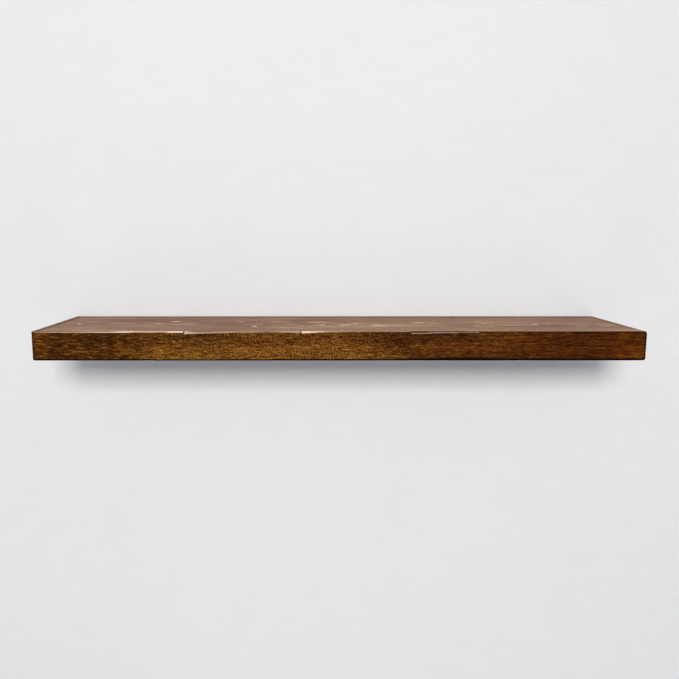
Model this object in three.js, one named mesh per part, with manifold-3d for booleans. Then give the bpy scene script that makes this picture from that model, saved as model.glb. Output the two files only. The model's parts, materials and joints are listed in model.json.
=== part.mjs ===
// Floating wall shelf: a solid plank that slides over the rods of a hidden steel bracket.
//
// Frame, in millimetres: +X along the shelf, -Y out into the room, +Z up.
// The wall's face is the plane y = 0. The origin is the centre of the back bar's rear face,
// which lies on the wall, at mid-length and mid-thickness of the plank.

import * as THREE from 'three';
import { mergeVertices } from 'three/addons/utils/BufferGeometryUtils.js';
import Module from 'manifold-3d';

// The plank
const boardLength = 914;
const boardDepth = 203;
const boardThickness = 44;
const edgeEase = 1.2; // rounding of the front and back edges
const leftCornerExtra = 0.4; // the left end's corners are rounded by the ease and this
const rightCornerExtra = 2.4; // the right end's corners are softer

// The back bar, in a pocket routed in the back of the plank
const pocketWall = 5.6; // wood left above and below the pocket
const pocketPlay = 0.5; // between the bar and the pocket's edge, all round
const pocketFloorGap = 0.6; // between the bar's front face and the pocket's floor
const barEndMargin = 25; // from the plank's end to the bar's end
const barThickness = 6.35;
const barCornerRadius = 6;

// The rods, which carry the plank
const rodCount = 4;
const rodRadius = 6.35;
const rodEndMargin = 51; // from the bar's end to the outer rod's axis
const rodTipChamfer = 1.5;
const noseWood = 40; // wood left between the bore's drill point and the plank's front
const boreEndGap = 3; // air between a rod's tip and the full-width end of its bore
const drillPointShare = 0.6; // height of a 118 degree drill point, as a share of its radius

// The countersunk bolts that hold the rods to the bar, from behind
const boltShankRadius = 3;
const boltHeadRadius = 6;
const boltHeadLand = 0.4; // straight rim above the head's cone
const boltHeadSink = 0.3; // below the bar's rear face, clear of the wall
const boltGrip = 16; // length inside the rod
const boltHoleSpare = 2; // tapped hole past the bolt's end
const boltSocketFlats = 4;
const boltSocketDepth = 2.4;

// The wall screws and their plugs
const screwShankRadius = 3;
const screwHeadRadius = 5.8;
const screwHeadLand = 0.4;
const screwPointLength = 7;
const screwPastPlug = 3; // length of screw beyond the plug's tip
const plugLength = 50;
const plugSink = 2.5; // the plug starts this far inside the wall, so it can't lift the bar
const plugWall = 1.7; // from the plug's bore to the crests of its ribs
const plugRootDrop = 0.6; // depth of the grooves between the ribs
const plugCollarLength = 8;
const plugNoseLength = 5;
const plugRibCount = 5;
const plugRibCrestShare = 0.7; // where the crest lies along a rib
const plugSlotWidth = 1.4;

// The locking grub screws and their threaded inserts, in the plank's underside
const lockSetback = 62; // from the wall to the insert's axis
const lockWeb = 5.35; // wood left between the insert and the rod's bore
const insertWall = 1.45;
const insertFlangeWidth = 1.25; // how far the flange stands out from the body
const insertFlangeThickness = 1.2;
const grubRadius = 3;
const grubRecess = 1.6; // from the plank's underside up to the grub screw's end
const grubEndChamfer = 0.6;
const grubSocketFlats = 3;
const grubSocketDepth = 3.5;

// Clearances and working values
const fitGap = 0.3; // between a round piece and its hole
const cutOverrun = 1; // how far a cut runs past the face that it starts from
const weldDistance = 1e-4; // vertices nearer than this are one vertex
const easeSteps = 3;
const cornerSteps = 5;
const rodSegments = 20;
const fastenerSegments = 16;
const hexagonSides = 6;

// Sizes that follow from those above
const barLength = boardLength - 2 * barEndMargin;
const barHeight = boardThickness - 2 * (pocketWall + pocketPlay);
const boreRadius = rodRadius + fitGap;
const boreDrillPoint = boreRadius * drillPointShare;
const rodReach = boardDepth - noseWood - boreDrillPoint - boreEndGap - barThickness;
const outerRodX = barLength / 2 - rodEndMargin;
const rodSpacing = (2 * outerRodX) / (rodCount - 1);
const boltHoleRadius = boltShankRadius + fitGap;
const plugBoreRadius = screwShankRadius + fitGap;
const plugCrestRadius = plugBoreRadius + plugWall;
const plugRootRadius = plugCrestRadius - plugRootDrop;
const screwLength = barThickness + plugSink + plugLength + screwPastPlug;
const insertLength = boardThickness / 2 - boreRadius - lockWeb;
const insertBoreRadius = grubRadius + fitGap;
const insertBodyRadius = insertBoreRadius + insertWall;
const insertFlangeRadius = insertBodyRadius + insertFlangeWidth;
const grubLength = boardThickness / 2 - grubRecess - boreRadius;

const rodStations = Array.from({ length: rodCount }, (_, i) => i * rodSpacing - outerRodX);

// The two outer rods are locked.
const lockStations = [
  { side: 'left', x: rodStations[0] },
  { side: 'right', x: rodStations[rodCount - 1] },
];

// A wall screw sits outside each outer rod, midway between the rods of each side,
// and two share the middle gap, so that the bar's centre stays whole.
const outerScrewX = outerRodX + rodEndMargin / 2;
const sideScrewX = outerRodX - rodSpacing / 2;
const middleScrewX = rodSpacing / 4;
const screwStations = [-outerScrewX, -sideScrewX, -middleScrewX, middleScrewX, sideScrewX, outerScrewX];

const wasm = await Module();
wasm.setup();

const stainedWood = new THREE.MeshStandardMaterial({ color: 0x5c3a17, roughness: 0.55, metalness: 0 });
const powderCoat = new THREE.MeshStandardMaterial({ color: 0x1d1d1f, roughness: 0.5, metalness: 0.1 });
const zincSteel = new THREE.MeshStandardMaterial({ color: 0xb4b6b8, roughness: 0.35, metalness: 1 });
const nylon = new THREE.MeshStandardMaterial({ color: 0x8b8f94, roughness: 0.6, metalness: 0 });
const brass = new THREE.MeshStandardMaterial({ color: 0xb5914a, roughness: 0.35, metalness: 1 });

// A closed three.js geometry as a manifold solid, and back.
function solidOf(geometry) {
  const bare = geometry.clone();
  bare.deleteAttribute('normal');
  bare.deleteAttribute('uv');
  const welded = mergeVertices(bare, weldDistance);
  const triangles = [];
  for (let i = 0; i < welded.index.count; i += 3) {
    const [a, b, c] = [0, 1, 2].map((k) => welded.index.getX(i + k));
    if (a !== b && b !== c && c !== a) triangles.push(a, b, c);
  }
  return new wasm.Manifold(new wasm.Mesh({
    numProp: 3,
    vertProperties: new Float32Array(welded.attributes.position.array),
    triVerts: new Uint32Array(triangles),
  }));
}

function geometryOf(solid) {
  const mesh = solid.getMesh();
  const geometry = new THREE.BufferGeometry();
  geometry.setAttribute('position', new THREE.BufferAttribute(mesh.vertProperties, mesh.numProp));
  geometry.setIndex(new THREE.BufferAttribute(mesh.triVerts, 1));
  geometry.computeVertexNormals();
  return geometry;
}

function cutAway(geometry, cuts) {
  return geometryOf(cuts.reduce((solid, cut) => solid.subtract(solidOf(cut)), solidOf(geometry)));
}

function meshOf(name, geometry, material) {
  const mesh = new THREE.Mesh(geometry, material);
  mesh.name = name;
  return mesh;
}

// A solid turned about the Y axis. Its [radius, y] pairs go round the half section,
// up the outside and, where the piece is hollow, down the inside.
function turned(profile, segments) {
  return new THREE.LatheGeometry(profile.map(([r, y]) => new THREE.Vector2(r, y)), segments);
}

// A rectangle with a rounding of its own at the left and the right end.
function roundedOutline(length, height, leftRadius, rightRadius) {
  const shape = new THREE.Shape();
  const x = length / 2;
  const y = height / 2;
  const quarter = Math.PI / 2;
  shape.absarc(x - rightRadius, y - rightRadius, rightRadius, 0, quarter);
  shape.absarc(-x + leftRadius, y - leftRadius, leftRadius, quarter, 2 * quarter);
  shape.absarc(-x + leftRadius, -y + leftRadius, leftRadius, 2 * quarter, 3 * quarter);
  shape.absarc(x - rightRadius, -y + rightRadius, rightRadius, 3 * quarter, 4 * quarter);
  return shape;
}

// The outline stands in the X-Z plane and runs from the plane y = back towards the room.
function plate(outline, back, thickness, ease = 0) {
  const geometry = new THREE.ExtrudeGeometry(outline, {
    depth: thickness - 2 * ease,
    curveSegments: cornerSteps,
    bevelEnabled: ease > 0,
    bevelThickness: ease,
    bevelSize: ease,
    bevelOffset: -ease,
    bevelSegments: easeSteps,
  });
  geometry.translate(0, 0, ease);
  geometry.rotateX(Math.PI / 2);
  return geometry.translate(0, back, 0);
}

// A countersunk screw's side, from the top of its head at y = 0 to the start of its point.
function countersunkSide(headRadius, land, shankRadius, shankEnd) {
  return [
    [headRadius, 0],
    [headRadius, land],
    [shankRadius, land + headRadius - shankRadius],
    [shankRadius, shankEnd],
  ];
}

// The hole for such a screw, open past both faces of a plate of this thickness.
function countersunkHole(headRadius, land, shankRadius, thickness) {
  const side = countersunkSide(headRadius + fitGap, land, shankRadius + fitGap, thickness + cutOverrun);
  const [mouth, ...rest] = side;
  return turned(
    [[0, -cutOverrun], [mouth[0], -cutOverrun], ...rest, [0, thickness + cutOverrun]],
    fastenerSegments,
  );
}

function hexSocket(flats, depth) {
  const cornerRadius = flats / 2 / Math.cos(Math.PI / hexagonSides);
  const socket = new THREE.CylinderGeometry(cornerRadius, cornerRadius, depth + cutOverrun, hexagonSides);
  return socket.translate(0, (depth - cutOverrun) / 2, 0);
}

// The plank: eased edges, a pocket for the bar, a blind bore for each rod,
// and a stepped hole in the underside for each insert and its grub screw.
function shelfBoard() {
  const outline = roundedOutline(
    boardLength,
    boardThickness,
    edgeEase + leftCornerExtra,
    edgeEase + rightCornerExtra,
  );
  const plank = plate(outline, 0, boardDepth, edgeEase);
  const pocketCorner = barCornerRadius + pocketPlay;
  const pocketOutline = roundedOutline(
    barLength + 2 * pocketPlay,
    barHeight + 2 * pocketPlay,
    pocketCorner,
    pocketCorner,
  );
  const pocket = plate(pocketOutline, cutOverrun, cutOverrun + barThickness + pocketFloorGap);
  const bores = rodStations.map((x) => rodBore().translate(x, 0, 0));
  const lockHoles = lockStations.map(({ x }) => lockHole().translate(x, -lockSetback, -boardThickness / 2));
  return cutAway(plank, [pocket, ...bores, ...lockHoles]);
}

// From behind the pocket's floor to the drill point.
function rodBore() {
  const mouth = -barThickness;
  const end = mouth - rodReach - boreEndGap;
  const profile = [[0, end - boreDrillPoint], [boreRadius, end], [boreRadius, mouth], [0, mouth]];
  return turned(profile, rodSegments);
}

// From the underside at local z = 0 up to the rod's axis.
function lockHole() {
  const flangeSeat = insertFlangeThickness + fitGap;
  const bodySeat = insertLength + fitGap;
  const hole = turned([
    [0, -cutOverrun],
    [insertFlangeRadius + fitGap, -cutOverrun],
    [insertFlangeRadius + fitGap, flangeSeat],
    [insertBodyRadius + fitGap, flangeSeat],
    [insertBodyRadius + fitGap, bodySeat],
    [insertBoreRadius, bodySeat],
    [insertBoreRadius, boardThickness / 2],
    [0, boardThickness / 2],
  ], fastenerSegments);
  return hole.rotateX(Math.PI / 2);
}

// The flat steel bar on the wall: countersunk from the front for the wall screws,
// and from behind for the rods' bolts.
function backBar() {
  const outline = roundedOutline(barLength, barHeight, barCornerRadius, barCornerRadius);
  const bar = plate(outline, 0, barThickness);
  const screwHoles = screwStations.map((x) => (
    countersunkHole(screwHeadRadius, screwHeadLand, screwShankRadius, barThickness)
      .translate(x, -barThickness, 0)
  ));
  const boltHoles = rodStations.map((x) => (
    countersunkHole(boltHeadRadius, boltHeadLand + boltHeadSink, boltShankRadius, barThickness)
      .rotateX(Math.PI)
      .translate(x, 0, 0)
  ));
  return cutAway(bar, [...screwHoles, ...boltHoles]);
}

// A rod, its seat at y = 0 and its chamfered tip towards the room, with a tapped hole in the seat.
function supportRod() {
  const holeDepth = boltGrip + boltHoleSpare;
  return turned([
    [0, -rodReach],
    [rodRadius - rodTipChamfer, -rodReach],
    [rodRadius, -rodReach + rodTipChamfer],
    [rodRadius, 0],
    [boltHoleRadius, 0],
    [boltHoleRadius, -holeDepth],
    [0, -holeDepth - boltHoleRadius * drillPointShare],
  ], rodSegments);
}

function rodBolt() {
  const length = barThickness - boltHeadSink + boltGrip;
  const side = countersunkSide(boltHeadRadius, boltHeadLand, boltShankRadius, length);
  const bolt = turned([[0, 0], ...side, [0, length]], fastenerSegments);
  return cutAway(bolt, [hexSocket(boltSocketFlats, boltSocketDepth)]);
}

function wallScrew() {
  const shankEnd = screwLength - screwPointLength;
  const side = countersunkSide(screwHeadRadius, screwHeadLand, screwShankRadius, shankEnd);
  return turned([[0, 0], ...side, [0, screwLength]], fastenerSegments);
}

// A nylon plug: a plain collar, ribs that grip the wall, a tapered nose, and a slot that lets
// its two legs spread.
function wallPlug() {
  const ribPitch = (plugLength - plugCollarLength - plugNoseLength) / plugRibCount;
  const ribStarts = Array.from({ length: plugRibCount }, (_, i) => plugCollarLength + i * ribPitch);
  const ribs = ribStarts.flatMap((y) => [
    [plugRootRadius, y],
    [plugCrestRadius, y + ribPitch * plugRibCrestShare],
  ]);
  const noseRadius = (plugRootRadius + plugBoreRadius) / 2;
  const sleeve = turned([
    [plugBoreRadius, 0],
    [plugCrestRadius, 0],
    [plugCrestRadius, plugCollarLength - plugRootDrop],
    ...ribs,
    [plugRootRadius, plugLength - plugNoseLength],
    [noseRadius, plugLength],
    [plugBoreRadius, plugLength],
    [plugBoreRadius, 0],
  ], fastenerSegments);
  const slotLength = plugLength - plugCollarLength + cutOverrun;
  const slot = new THREE.BoxGeometry(plugSlotWidth, slotLength, 2 * (plugCrestRadius + cutOverrun));
  slot.translate(0, plugCollarLength + slotLength / 2, 0);
  return cutAway(sleeve, [slot]);
}

// An insert, its flange's outer face at local z = 0.
function lockInsert() {
  const insert = turned([
    [insertBoreRadius, 0],
    [insertFlangeRadius, 0],
    [insertFlangeRadius, insertFlangeThickness],
    [insertBodyRadius, insertFlangeThickness],
    [insertBodyRadius, insertLength],
    [insertBoreRadius, insertLength],
    [insertBoreRadius, 0],
  ], fastenerSegments);
  return insert.rotateX(Math.PI / 2);
}

// A grub screw, its socket's mouth at local z = 0 and its cup end nipping the rod.
function lockScrew() {
  const grub = turned([
    [0, 0],
    [grubRadius - grubEndChamfer, 0],
    [grubRadius, grubEndChamfer],
    [grubRadius, grubLength - grubEndChamfer],
    [grubRadius - grubEndChamfer, grubLength],
    [0, grubLength],
  ], fastenerSegments);
  return cutAway(grub, [hexSocket(grubSocketFlats, grubSocketDepth)]).rotateX(Math.PI / 2);
}

// Everything that stays on the wall.
function bracket() {
  const group = new THREE.Group();
  group.add(meshOf('back_bar', backBar(), powderCoat));
  rodStations.forEach((x, i) => {
    const rod = meshOf(`support_rod_${i + 1}`, supportRod(), powderCoat);
    rod.position.set(x, -barThickness, 0);
    const bolt = meshOf(`rod_bolt_${i + 1}`, rodBolt(), zincSteel);
    bolt.position.set(x, -boltHeadSink, 0);
    bolt.rotation.x = Math.PI;
    group.add(rod, bolt);
  });
  screwStations.forEach((x, i) => {
    const screw = meshOf(`wall_screw_${i + 1}`, wallScrew(), zincSteel);
    screw.position.set(x, -barThickness, 0);
    const plug = meshOf(`wall_plug_${i + 1}`, wallPlug(), nylon);
    plug.position.set(x, plugSink, 0);
    group.add(screw, plug);
  });
  return group;
}

// Everything that slides off the rods with the plank.
function shelf() {
  const group = new THREE.Group();
  group.add(meshOf('shelf_board', shelfBoard(), stainedWood));
  lockStations.forEach(({ side, x }) => {
    const insert = meshOf(`lock_insert_${side}`, lockInsert(), brass);
    insert.position.set(x, -lockSetback, -boardThickness / 2);
    const grub = meshOf(`lock_screw_${side}`, lockScrew(), zincSteel);
    grub.position.set(x, -lockSetback, -boardThickness / 2 + grubRecess);
    group.add(insert, grub);
  });
  return group;
}

const floatingShelf = new THREE.Group();
floatingShelf.add(bracket(), shelf());

export default floatingShelf;
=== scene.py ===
# %% [markdown]
# A floating wall shelf: a thick plank of stained softwood that hides the steel bracket it slides over.
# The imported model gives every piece's place and size, so this file only dresses it: each piece below
# is made anew around its own solid, with +X along the shelf, -Y into the room and +Z up.
# It is meant to be read from top to bottom, one cell at a time.

# %% Load the frame
import json
import math

import bmesh
import bpy
import numpy as np
from mathutils import Matrix, Vector, noise


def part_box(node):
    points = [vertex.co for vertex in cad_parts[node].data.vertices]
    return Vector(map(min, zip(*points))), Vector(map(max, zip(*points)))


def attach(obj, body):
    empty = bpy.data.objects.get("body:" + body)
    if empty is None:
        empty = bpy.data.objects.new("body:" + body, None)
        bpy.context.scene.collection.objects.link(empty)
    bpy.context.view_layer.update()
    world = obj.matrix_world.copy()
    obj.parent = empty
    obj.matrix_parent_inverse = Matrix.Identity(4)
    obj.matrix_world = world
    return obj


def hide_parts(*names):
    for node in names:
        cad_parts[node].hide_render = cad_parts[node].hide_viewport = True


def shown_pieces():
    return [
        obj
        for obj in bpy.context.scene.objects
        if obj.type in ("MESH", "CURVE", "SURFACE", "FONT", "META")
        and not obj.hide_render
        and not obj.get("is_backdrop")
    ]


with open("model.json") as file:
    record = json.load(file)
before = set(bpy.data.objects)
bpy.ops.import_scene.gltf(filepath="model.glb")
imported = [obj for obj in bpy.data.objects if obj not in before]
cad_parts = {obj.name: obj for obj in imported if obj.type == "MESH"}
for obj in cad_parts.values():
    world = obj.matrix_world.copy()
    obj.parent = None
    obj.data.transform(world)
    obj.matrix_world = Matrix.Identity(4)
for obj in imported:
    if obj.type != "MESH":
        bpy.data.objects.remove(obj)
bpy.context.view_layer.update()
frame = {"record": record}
bodies = frame["record"]["behaviour"]["bodies"]
body_of_node = {node: body for body, nodes in bodies.items() for node in nodes}
print("solids", len(body_of_node))

# %% [markdown]
# Blender counts in metres, but a joiner thinks in millimetres. So every piece is modelled in
# millimetres, and only its finished mesh is brought to metres. Screws, rods and plugs are turned
# pieces: they are modelled upright on a bench, with the axis along +Z, and a matrix lays them in
# place. It moves the mesh and not the object, which stays at the origin, so that every pattern that
# reads Object coordinates stays where it belongs.

# %% Units, places and directions
MM = 0.001
UP, INTO_WALL, INTO_ROOM = Vector((0, 0, 1)), Vector((0, 1, 0)), Vector((0, -1, 0))


def box(node):
    """A node's lowest and highest corners, in millimetres."""
    low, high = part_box(node)
    return low / MM, high / MM


def middle(node):
    low, high = box(node)
    return (low + high) / 2


def turned_size(node, direction):
    """The radius and the length of a turned node that lies along a direction."""
    low, high = box(node)
    return (high.x - low.x) / 2, abs((high - low).dot(direction))


def start_of(node, direction):
    """Where a turned node begins, when it lies along a direction."""
    return middle(node) - direction * turned_size(node, direction)[1] / 2


def placing(place, direction):
    """The matrix that lays a bench piece at a place, with its +Z along a direction."""
    return Matrix.Translation(place) @ direction.to_track_quat("Z", "Y").to_matrix().to_4x4()


# %% [markdown]
# Three small mesh makers cover the hardware: a lathe, a prism, and a saw that cuts one closed form
# out of another. BMesh is the right tool for the first two, because it makes vertices and faces one
# by one. The cutting is left to the Boolean modifier, whose result is kept as a plain mesh.

# %% Lathe and prism
ROUND = 64
CORNER_STEPS = 12


def turned(profile, form=None, matrix=Matrix()):
    """A turned form about Z, from (radius, height) pairs up its outside.
    A profile that starts off the axis is a ring, and its last pair joins its first."""
    form = form or bmesh.new()
    rings = []
    for radius, height in profile:
        count = ROUND if radius > 0 else 1
        angles = [math.tau * i / count for i in range(count)]
        ring = [Vector((radius * math.cos(a), radius * math.sin(a), height)) for a in angles]
        rings.append([form.verts.new(matrix @ corner) for corner in ring])
    pairs = list(zip(rings, rings[1:]))
    if profile[0][0] > 0:
        pairs.append((rings[-1], rings[0]))
    for lower, upper in pairs:
        for here in range(ROUND):
            there = (here + 1) % ROUND
            corners = [ring[i % len(ring)] for ring, i in
                       ((lower, here), (lower, there), (upper, there), (upper, here))]
            form.faces.new(dict.fromkeys(corners))
    return form


def prism(outline, low, high, high_share=1, matrix=Matrix()):
    """A prism on an outline of (x, y) pairs, whose upper face may be drawn in."""
    form = bmesh.new()
    lower = [form.verts.new(matrix @ Vector((x, y, low))) for x, y in outline]
    upper = [form.verts.new(matrix @ Vector((x * high_share, y * high_share, high))) for x, y in outline]
    form.faces.new(lower)
    form.faces.new(upper)
    for i, corner in enumerate(lower):
        after = (i + 1) % len(lower)
        form.faces.new((corner, lower[after], upper[after], upper[i]))
    return form


def rounded_rectangle(length, height, radius):
    """The outline of a rectangle with round corners, centred, counter-clockwise."""
    outline = []
    for quarter, (side_x, side_y) in enumerate(((1, 1), (-1, 1), (-1, -1), (1, -1))):
        for i in range(CORNER_STEPS + 1):
            angle = math.pi / 2 * (quarter + i / CORNER_STEPS)
            outline.append((side_x * (length / 2 - radius) + radius * math.cos(angle),
                            side_y * (height / 2 - radius) + radius * math.sin(angle)))
    return outline


# %% From a bench form to a piece
def add(name, data):
    """Puts a new object with its data in the scene."""
    made = bpy.data.objects.new(name, data)
    bpy.context.scene.collection.objects.link(made)
    return made


def piece_from(name, form):
    """A new object from a bench form, with its faces pointing out."""
    bmesh.ops.recalc_face_normals(form, faces=form.faces)
    mesh = bpy.data.meshes.new(name)
    form.to_mesh(mesh)
    form.free()
    return add(name, mesh)


def bench(name, profile):
    """A turned piece on the bench."""
    return piece_from(f"bench {name}", turned(profile))


def holes(nodes, profile, direction, **face):
    """The same turned hole on the axis of each node, begun at one face, such as y=0."""
    form = bmesh.new()
    for node in nodes:
        start = middle(node)
        for axis, level in face.items():
            setattr(start, axis, level)
        turned(profile, form, placing(start, direction))
    return form


def settled(piece):
    """Keeps what the piece's modifiers make as its plain mesh."""
    graph = bpy.context.evaluated_depsgraph_get()
    mesh = bpy.data.meshes.new_from_object(piece.evaluated_get(graph))
    piece.modifiers.clear()
    piece.data = mesh
    return piece


def cut(piece, form, solver="EXACT"):
    """Takes a bench form's volume out of the piece."""
    cutter = piece_from("cutter", form)
    modifier = piece.modifiers.new("cut", "BOOLEAN")
    modifier.operation = "DIFFERENCE"
    modifier.solver = solver
    modifier.object = cutter
    settled(piece)
    bpy.data.objects.remove(cutter)
    return piece


# %% [markdown]
# A finished piece is in metres, is shaded smooth up to a crease angle, carries its finish, rides on
# its body, and stands for the solid that it dresses. One function does that for all of them, so no
# piece can miss a step. What the object has several of is made once and copied to each place.

# %% Dress a solid
CREASE = math.radians(32)


def dress(piece, node, material):
    """Finishes a piece that stands for one solid of the frame."""
    piece.data.transform(Matrix.Scale(MM, 4))
    piece.data.shade_smooth()
    piece.data.set_sharp_from_angle(angle=CREASE)
    piece.data.materials.clear()
    piece.data.materials.append(material)
    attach(piece, body_of_node[node])
    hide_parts(node)


def lay_out(made, label, nodes, direction, material):
    """Copies a bench piece over each of its nodes, dresses the copies and clears the bench."""
    for i, node in enumerate(nodes, 1):
        mesh = made.data.copy()
        mesh.transform(placing(start_of(node, direction), direction))
        dress(add(f"{label}_{i}", mesh), node, material)
    print(label, len(nodes), "of", len(made.data.polygons), "faces")
    bpy.data.objects.remove(made)


# %% [markdown]
# The camera stands a little over a metre from the wall, above the shelf and slightly to its left.
# Its place was found by laying the plank's front and back corners over those of the photograph: the
# way the top narrows towards the wall gives the distance, and how much of it shows gives the height.
# The picture was cropped off centre, which a lens shift repeats without turning the camera.

# %% Camera
PICTURE = 679
OPTICAL_AXIS_X = 314.1
FOCAL_PIXELS = 689.5
SENSOR = 36.0
CAMERA_PLACE = (-0.0377, -1.2150, 0.1579)
LOOKING_DOWN = 8.32

camera_data = bpy.data.cameras.new("camera")
camera_data.sensor_width = SENSOR
camera_data.lens = FOCAL_PIXELS / PICTURE * SENSOR
camera_data.shift_x = (PICTURE / 2 - OPTICAL_AXIS_X) / PICTURE
camera = add("camera", camera_data)
camera.location = CAMERA_PLACE
camera.rotation_euler = (math.radians(90 - LOOKING_DOWN), 0, 0)
bpy.context.scene.camera = camera
bpy.context.scene.view_settings.view_transform = "Standard"
print("lens", round(camera_data.lens, 2), "mm")

# %% [markdown]
# Materials and geometry tools are both trees of small nodes, and a sum reads badly as nodes and
# links. So what a node gives is wrapped in a Signal. A Signal that is a number can be added and
# multiplied like any other, and each sum or product becomes a Math node. The recipe class adds a
# material's own words: noise stretched along an axis, a soft step, a window, a mix of two colours.
# Every pattern reads Object coordinates, so it is fixed to the piece like real grain.

# %% Sums in node trees
class Signal:
    """What one output of a node gives."""

    def __init__(self, tree, socket):
        self.tree, self.socket = tree, socket

    def __add__(self, other):
        return self.tree.calc("ADD", self, other)

    def __sub__(self, other):
        return self.tree.calc("SUBTRACT", self, other)

    def __rsub__(self, other):
        return self.tree.calc("SUBTRACT", other, self)

    def __mul__(self, other):
        return self.tree.calc("MULTIPLY", self, other)

    def __truediv__(self, other):
        return self.tree.calc("DIVIDE", self, other)

    def __abs__(self):
        return self.tree.calc("ABSOLUTE", self)

    __radd__, __rmul__ = __add__, __mul__


class Tree:
    """A node tree under construction."""

    def __init__(self, tree):
        self.tree = tree

    def feed(self, socket, value):
        """Gives a socket a signal, another node's output or a plain value."""
        value = value.socket if isinstance(value, Signal) else value
        if isinstance(value, bpy.types.NodeSocket):
            self.tree.links.new(value, socket)
        else:
            socket.default_value = value

    def node(self, kind, inputs=(), **settings):
        made = self.tree.nodes.new(kind)
        for name, value in settings.items():
            setattr(made, name, value)
        for socket, value in dict(inputs).items():
            self.feed(made.inputs[socket], value)
        return made

    def signal(self, kind, inputs=(), output=0, **settings):
        return Signal(self, self.node(kind, inputs, **settings).outputs[output])

    def calc(self, operation, *values, clamp=False):
        return self.signal("ShaderNodeMath", enumerate(values), operation=operation, use_clamp=clamp)

    def parts(self, vector):
        split = self.node("ShaderNodeSeparateXYZ", {0: vector})
        return [Signal(self, output) for output in split.outputs]


# %% Words for materials
class Recipe(Tree):
    """A material under construction, with short names for its patterns."""

    def __init__(self, name, **surface):
        self.material = bpy.data.materials.new(name)
        self.material.use_nodes = True
        super().__init__(self.material.node_tree)
        self.surface = self.tree.nodes["Principled BSDF"]
        for socket, value in surface.items():
            self.surface.inputs[socket.replace("_", " ")].default_value = value
        place = self.node("ShaderNodeTexCoord").outputs
        self.point, self.facing = place["Object"], place["Normal"]

    def places(self):
        """The piece's own X, Y and Z, in millimetres."""
        return [part / MM for part in self.parts(self.point)]

    def step(self, value, start, end, low=0.0, high=1.0):
        """Goes softly from low at start to high at end."""
        inputs = {"Value": value, "From Min": start, "From Max": end, "To Min": low, "To Max": high}
        return self.signal("ShaderNodeMapRange", inputs, interpolation_type="SMOOTHSTEP")

    def window(self, value, start, full, fade, end):
        """1 from full to fade, falling to 0 at start and at end."""
        return self.step(value, start, full) * self.step(value, end, fade)

    def noise(self, per_metre, detail=2.0, rough=0.5, moved=(0, 0, 0), vector=None):
        """Noise with its own fineness along each axis, centred on zero, about -0.3 to 0.3."""
        inputs = {"Vector": vector or self.point, "Scale": per_metre, "Location": moved}
        mapped = self.signal("ShaderNodeMapping", inputs)
        inputs = {"Vector": mapped, "Scale": 1.0, "Detail": detail, "Roughness": rough}
        return self.signal("ShaderNodeTexNoise", inputs) - 0.5

    def ramp(self, value, stops):
        made = self.node("ShaderNodeValToRGB", {"Fac": value})
        band = made.color_ramp
        while len(band.elements) < len(stops):
            band.elements.new(0.5)
        for element, (place, colour) in zip(band.elements, stops):
            element.position = place
            element.color = (*colour, 1)
        return Signal(self, made.outputs[0])

    def mix(self, share, first, second, blend="MIX"):
        first, second = (c if isinstance(c, Signal) else (*c, 1) for c in (first, second))
        inputs = {0: share, 6: first, 7: second}
        return self.signal("ShaderNodeMix", inputs, output=2, data_type="RGBA", blend_type=blend)

    def bump(self, height, distance):
        """Relief from a height, whose distance is in millimetres."""
        return self.signal("ShaderNodeBump", {"Height": height, "Distance": distance * MM})

    def finish(self, **sockets):
        for socket, value in sockets.items():
            self.feed(self.surface.inputs[socket.replace("_", " ")], value)
        print("finish", self.material.name, len(self.tree.nodes), "nodes")
        return self.material


# %% [markdown]
# The stage is a plain pale wall with a floor far below the shelf. Such a shelf hangs in front of a
# wall, and the short soft shadow below it says how far it stands out. The paint has a faint cloud, a
# fine grain and a few trowel marks. Just above the shelf it is a shade cooler and paler: it makes up
# for the warm light that the shelf's top throws on it here, and that the photograph does not show.

# %% Wall: the paint
WALL_GREY = 0.84
WALL_ABOVE = (0.032, 0.064, 0.086)


def wall_paint(wall):
    """The paint's colour, from noise and a cooler band above the shelf."""
    cloud = wall.noise((3.0, 3.0, 3.0), detail=5.0, rough=0.6)
    grain = wall.noise((160.0, 160.0, 160.0), detail=3.0, rough=0.6)
    trowel = wall.noise((14.0, 14.0, 34.0), detail=6.0, rough=0.68, moved=(3, 0, 8))
    marks = wall.step(trowel, 0.10, 0.22) * wall.step(cloud, -0.04, 0.10)
    shade = cloud * 0.035 + grain * 0.03 + trowel * 0.05 - marks * 0.045 + WALL_GREY
    x, _, z = wall.places()
    above = wall.window(x, -520, -400, 400, 520) * wall.window(z, 12, 22, 60, 340)
    shades = [shade + above * change for change in WALL_ABOVE]
    return wall.signal("ShaderNodeCombineColor", enumerate(shades))


# %% [markdown]
# Behind the wall are the plugs and screws, so the wall is seen only from the room: from behind it is
# clear. Light that starts within a few millimetres of it also passes, or the plank's back, a
# millimetre away, would be black in the views from behind. The floor is shown as pale as the room
# around it, but only to the camera, so it keeps its own light and shade for everything else.

# %% Wall and floor
WALL_GAP = 1 * MM
WALL_PASS = 6 * MM
HALF_WIDTH = 6.0
WALL_TOP = 3.0
FLOOR_LEVEL = -1.4
FLOOR_FRONT = -9.0
FLOOR_BACK = 5.0
FLOOR_FADE = 0.01
COVE_RADIUS = 0.5
COVE_STEPS = 16
ROOM_SEEN = (0.76, 0.78, 0.81)
FLOOR_PALE = 0.75


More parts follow.
